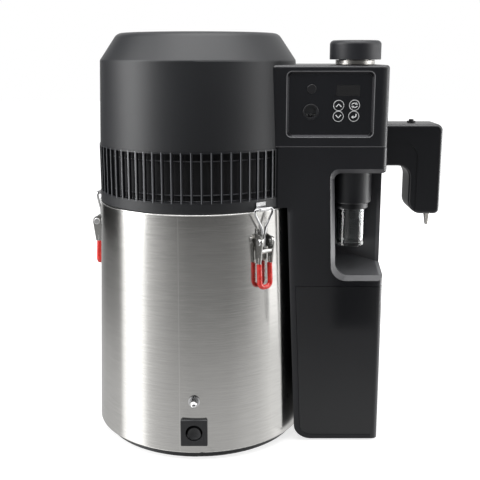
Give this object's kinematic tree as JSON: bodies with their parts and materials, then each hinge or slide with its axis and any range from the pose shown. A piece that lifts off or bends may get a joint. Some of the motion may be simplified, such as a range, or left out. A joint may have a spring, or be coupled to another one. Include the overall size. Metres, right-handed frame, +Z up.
{
  "type": "countertop still",
  "caption": "Countertop still: a steel boiler under a vented fan-cooled head, with a side column that holds controls, a sight glass and an outlet arm.",
  "frame": {"origin": "on the boiler's axis, on the surface that the still stands on", "axes": "+X from the boiler towards the column and outlet arm, +Y to the back, +Z up; the controls face -Y"},
  "size_m": [0.354, 0.2289, 0.4078],
  "materials": {
    "brushed_steel": "horizontally brushed stainless sheet",
    "bright_steel": "polished or plated steel",
    "steel_wire": "bright drawn wire",
    "cast_aluminium": "as cast",
    "black_plastic": "satin moulded plastic, fine spark grain",
    "black_gloss": "smooth printed fascia",
    "grey_plastic": "plain moulded plastic",
    "dark_lens": "smoked window",
    "lamp_lens": "dark domed lens",
    "key_rubber": "smooth key with a printed ring",
    "red_vinyl": "dipped vinyl",
    "silicone": "translucent silicone",
    "black_rubber": "moulded rubber",
    "clear_glass": "clear glass",
    "brass_pin": "turned pins",
    "board_green": "lacquered circuit board"
  },
  "bodies": {
    "boiler": {"base_plate": "black_plastic", "base_screws": "bright_steel", "boiler_shell": "brushed_steel", "boiler_pot": "brushed_steel", "heater_element": "cast_aluminium", "thermal_cutout": "grey_plastic", "switch_bezel": "black_plastic", "front_stud": "bright_steel", "power_inlet": "black_plastic", "inlet_pins": "brass_pin", "latch_pins": "bright_steel", "latch_base_front": "bright_steel", "latch_base_left": "bright_steel", "latch_base_rear": "bright_steel"},
    "head": {"skirt_ring": "black_plastic", "head_lid": "brushed_steel", "lid_gasket": "silicone", "vent_ring": "black_plastic", "head_dome": "black_plastic", "condenser_coil": "bright_steel", "coil_clips": "cast_aluminium", "air_shroud": "black_plastic", "fan_bracket": "cast_aluminium", "fan_motor": "grey_plastic", "latch_hooks": "bright_steel", "column_frame": "black_plastic", "lower_cover": "black_plastic", "cover_screws": "bright_steel", "column_feet": "black_rubber", "control_housing": "black_plastic", "control_panel": "black_gloss", "display_window": "dark_lens", "indicator_lens": "lamp_lens", "port_socket": "black_plastic", "port_pins": "brass_pin", "control_board": "board_green", "sight_glass": "clear_glass", "cup_holder": "black_plastic", "neck_collar": "bright_steel", "outlet_arm": "black_plastic", "drip_nozzle": "bright_steel", "outlet_tubes": "silicone"},
    "reset": {"reset_button": "black_plastic"},
    "fan": {"fan_rotor": "grey_plastic"},
    "liner": {"cap_liner": "silicone"},
    "cap": {"screw_cap": "black_plastic"},
    "plug": {"vent_plug": "black_rubber"},
    "lever_front": {"latch_lever_front": "bright_steel", "latch_grip_front": "red_vinyl"},
    "bail_front": {"latch_bail_front": "steel_wire"},
    "lever_left": {"latch_lever_left": "bright_steel", "latch_grip_left": "red_vinyl"},
    "bail_left": {"latch_bail_left": "steel_wire"},
    "lever_rear": {"latch_lever_rear": "bright_steel", "latch_grip_rear": "red_vinyl"},
    "bail_rear": {"latch_bail_rear": "steel_wire"},
    "key_up": {"key_up": "key_rubber"},
    "key_down": {"key_down": "key_rubber"},
    "key_swap": {"key_swap": "key_rubber"},
    "key_enter": {"key_enter": "key_rubber"}
  },
  "joints": [
    {"name": "head_lift", "type": "slide", "parent": "boiler", "child": "head", "axis": [0, 0, 1], "range_m": [0, 0.12]},
    {"name": "lever_front_swing", "type": "hinge", "parent": "boiler", "child": "lever_front", "pos_m": [0.06588, -0.08742, 0.214], "axis": [-0.7986, -0.6018, 0], "range_deg": [0, 110]},
    {"name": "bail_front_swing", "type": "hinge", "parent": "head", "child": "bail_front", "pos_m": [0.06427, -0.08529, 0.2452], "axis": [-0.7986, -0.6018, 0], "range_deg": [0, 13.2]},
    {"name": "lever_left_swing", "type": "hinge", "parent": "boiler", "child": "lever_left", "pos_m": [-0.1084, 0.01523, 0.214], "axis": [0.1392, 0.9903, 0], "range_deg": [0, 110]},
    {"name": "bail_left_swing", "type": "hinge", "parent": "head", "child": "bail_left", "pos_m": [-0.10576, 0.01486, 0.2452], "axis": [0.1392, 0.9903, 0], "range_deg": [0, 13.2]},
    {"name": "lever_rear_swing", "type": "hinge", "parent": "boiler", "child": "lever_rear", "pos_m": [0.05473, 0.0948, 0.214], "axis": [0.866, -0.5, 0], "range_deg": [0, 110]},
    {"name": "bail_rear_swing", "type": "hinge", "parent": "head", "child": "bail_rear", "pos_m": [0.0534, 0.09249, 0.2452], "axis": [0.866, -0.5, 0], "range_deg": [0, 13.2]},
    {"name": "reset_press", "type": "slide", "parent": "boiler", "child": "reset", "axis": [0, 1, 0], "range_m": [0, 0.002], "stiffness_N_per_m": 400, "springref_m": -0.002},
    {"name": "key_up_press", "type": "slide", "parent": "head", "child": "key_up", "axis": [0, 1, 0], "range_m": [0, 0.0006], "stiffness_N_per_m": 300, "springref_m": -0.001},
    {"name": "key_down_press", "type": "slide", "parent": "head", "child": "key_down", "axis": [0, 1, 0], "range_m": [0, 0.0006], "stiffness_N_per_m": 300, "springref_m": -0.001},
    {"name": "key_swap_press", "type": "slide", "parent": "head", "child": "key_swap", "axis": [0, 1, 0], "range_m": [0, 0.0006], "stiffness_N_per_m": 300, "springref_m": -0.001},
    {"name": "key_enter_press", "type": "slide", "parent": "head", "child": "key_enter", "axis": [0, 1, 0], "range_m": [0, 0.0006], "stiffness_N_per_m": 300, "springref_m": -0.001},
    {"name": "fan_spin", "type": "hinge", "parent": "head", "child": "fan", "pos_m": [0, 0, 0.34], "axis": [0, 0, 1], "continuous": true},
    {"name": "cap_lift", "type": "slide", "parent": "head", "child": "liner", "axis": [0, 0, 1], "range_m": [0, 0.01]},
    {"name": "cap_turn", "type": "hinge", "parent": "liner", "child": "cap", "pos_m": [0.1516, -0.042, 0.39], "axis": [0, 0, 1], "range_deg": [0, 720.5]},
    {"name": "plug_pull", "type": "slide", "parent": "head", "child": "plug", "axis": [0, 0, 1], "range_m": [0, 0.008]}
  ],
  "couplings": [
    {"joint": "bail_front_swing", "follows": "lever_front_swing", "ratio": 0.12},
    {"joint": "bail_left_swing", "follows": "lever_left_swing", "ratio": 0.12},
    {"joint": "bail_rear_swing", "follows": "lever_rear_swing", "ratio": 0.12},
    {"joint": "cap_turn", "follows": "cap_lift", "rad_per_m": 1256.6}
  ]
}
